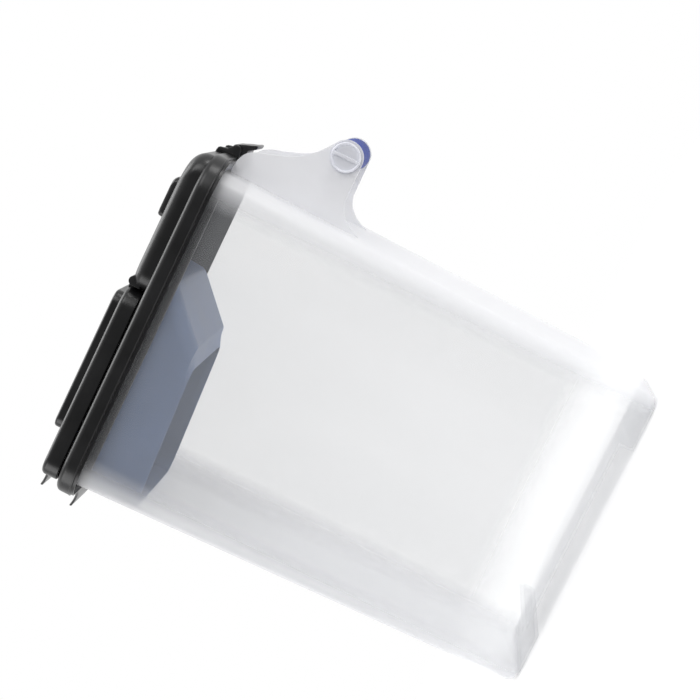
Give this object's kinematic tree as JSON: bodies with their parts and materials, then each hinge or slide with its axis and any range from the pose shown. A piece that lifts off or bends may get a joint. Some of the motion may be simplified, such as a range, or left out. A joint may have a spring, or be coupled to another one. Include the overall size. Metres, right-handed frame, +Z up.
{
  "type": "pet food bin",
  "caption": "Tall tapered translucent food bin with lift-off lid, hinged pouring flap over a chute, rear latch and a bracketed carrying grip at the back.",
  "frame": {"origin": "centre of the outline, on the plane the feet stand on", "axes": "+Z up, -Y the pouring side, +Y the side with the grip and the latch, X along the hinge lines"},
  "size_m": [0.238, 0.4201, 0.4755],
  "materials": {
    "milky_plastic": "satin, milky translucent polypropylene",
    "black_plastic": "satin, fine moulded texture",
    "smoky_plastic": "satin, smoky blue-grey, lets a little light through",
    "blue_rubber": "soft, fine ribs",
    "grey_seal": "soft matte",
    "steel": "drawn wire"
  },
  "bodies": {
    "container": {"container_body": "milky_plastic", "handle_cheek_left": "milky_plastic", "handle_cheek_right": "milky_plastic", "grip_cap_left": "milky_plastic", "grip_cap_right": "milky_plastic"},
    "grip": {"handle_grip": "blue_rubber", "handle_core": "milky_plastic"},
    "lid": {"lid_frame": "black_plastic", "lid_gasket": "grey_seal", "pour_chute": "smoky_plastic", "flap_hinge_rod": "steel", "latch_pin": "steel"},
    "flap": {"pour_flap": "black_plastic", "flap_gasket": "grey_seal"},
    "latch": {"rear_latch": "black_plastic"}
  },
  "joints": [
    {"name": "lid_lift", "type": "slide", "parent": "container", "child": "lid", "axis": [0, 0, 1], "range_m": [0, 0.12]},
    {"name": "flap_hinge", "type": "hinge", "parent": "lid", "child": "flap", "pos_m": [0, 0.01695, 0.462], "axis": [-1, 0, 0], "range_deg": [0, 120]},
    {"name": "latch_hinge", "type": "hinge", "parent": "lid", "child": "latch", "pos_m": [0, 0.15495, 0.4365], "axis": [1, 0, 0], "range_deg": [0, 105]},
    {"name": "grip_spin", "type": "hinge", "parent": "container", "child": "grip", "pos_m": [0, 0.19405, 0.3424], "axis": [1, 0, 0], "continuous": true}
  ]
}
